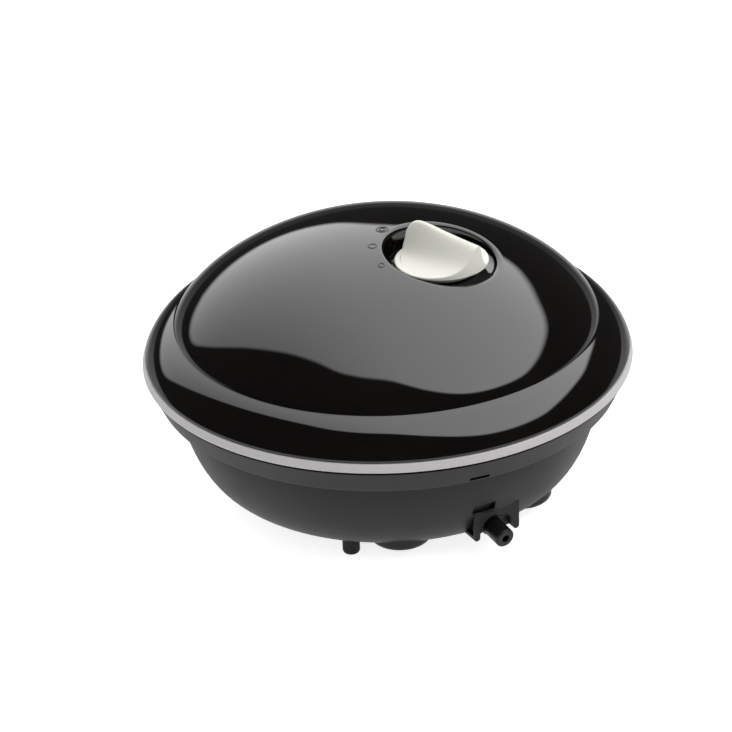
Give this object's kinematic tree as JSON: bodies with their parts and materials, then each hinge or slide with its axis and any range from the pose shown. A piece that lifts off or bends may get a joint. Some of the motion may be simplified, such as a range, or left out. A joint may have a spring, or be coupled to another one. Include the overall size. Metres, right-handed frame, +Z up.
{
  "type": "aquarium air pump",
  "caption": "Round mains air pump for an aquarium: domed gloss lid with an output knob, bowl-shaped base, side nozzle for airline and twin rubber diaphragms inside.",
  "frame": {"origin": "middle of the surface the feet stand on, under the centre of the round housing", "axes": "+Z up through the lid; -Y points out of the airline nozzle; +Y is the side of the mains lead gland"},
  "size_m": [0.13, 0.13, 0.0755],
  "materials": {
    "lid_gloss_black": "polished",
    "trim_light_grey": "satin",
    "shell_dark_grey": "fine texture",
    "knob_ivory": "satin",
    "black_plastic": "satin",
    "black_rubber": "matte",
    "hose_translucent": "soft translucent",
    "chassis_white": "satin",
    "zinc_steel": "plated",
    "silicon_steel": "laminated",
    "copper_enamel": "enamelled wire",
    "magnet_dark": "sintered",
    "board_green": "solder mask",
    "capacitor_sleeve": "sleeve",
    "wire_insulation": "insulation",
    "filter_felt": "felt"
  },
  "bodies": {
    "housing": {"upper_shell": "lid_gloss_black", "trim_ring": "trim_light_grey", "lower_shell": "shell_dark_grey", "filter_cover": "shell_dark_grey", "air_outlet_nozzle": "black_plastic", "outlet_manifold": "black_plastic", "terminal_block": "black_plastic", "flow_potentiometer": "black_plastic", "rubber_foot_1": "black_rubber", "rubber_foot_2": "black_rubber", "rubber_foot_3": "black_rubber", "cable_gland": "black_rubber", "isolation_grommet_1": "black_rubber", "isolation_grommet_2": "black_rubber", "isolation_grommet_3": "black_rubber", "isolation_grommet_4": "black_rubber", "diaphragm_left": "black_rubber", "diaphragm_right": "black_rubber", "valve_flaps_left": "black_rubber", "valve_flaps_right": "black_rubber", "air_hose_left": "hose_translucent", "air_hose_right": "hose_translucent", "pump_chassis": "chassis_white", "valve_chamber_left": "chassis_white", "valve_chamber_right": "chassis_white", "chamber_cover_left": "chassis_white", "chamber_cover_right": "chassis_white", "coil_bobbin": "chassis_white", "housing_screws": "zinc_steel", "board_screws": "zinc_steel", "chamber_screws": "zinc_steel", "terminal_screws": "zinc_steel", "pivot_pin_left": "zinc_steel", "pivot_pin_right": "zinc_steel", "core_strap_left": "zinc_steel", "core_strap_right": "zinc_steel", "laminated_core": "silicon_steel", "coil_winding": "copper_enamel", "control_board": "board_green", "board_capacitor": "capacitor_sleeve", "internal_wires": "wire_insulation", "intake_filter": "filter_felt"},
    "knob": {"control_knob": "knob_ivory", "knob_spindle": "zinc_steel"},
    "left_arm": {"swing_arm_left": "chassis_white", "arm_magnet_left": "magnet_dark", "diaphragm_clamp_left": "zinc_steel"},
    "right_arm": {"swing_arm_right": "chassis_white", "arm_magnet_right": "magnet_dark", "diaphragm_clamp_right": "zinc_steel"}
  },
  "joints": [
    {"name": "knob_turn", "type": "hinge", "parent": "housing", "child": "knob", "pos_m": [0.0084, -0.015, 0.0639], "axis": [0, 0, 1], "range_deg": [-6, 68]},
    {"name": "left_arm_swing", "type": "hinge", "parent": "housing", "child": "left_arm", "pos_m": [-0.02505, -0.02, 0.029], "axis": [0, 0, 1], "range_deg": [-1.8, 1.8], "stiffness_Nm_per_rad": 0.05, "deforming": ["diaphragm_left"]},
    {"name": "right_arm_swing", "type": "hinge", "parent": "housing", "child": "right_arm", "pos_m": [0.02505, -0.02, 0.029], "axis": [0, 0, 1], "range_deg": [-1.8, 1.8], "stiffness_Nm_per_rad": 0.05, "deforming": ["diaphragm_right"]}
  ],
  "couplings": [
    {"joint": "right_arm_swing", "follows": "left_arm_swing", "ratio": -1}
  ]
}
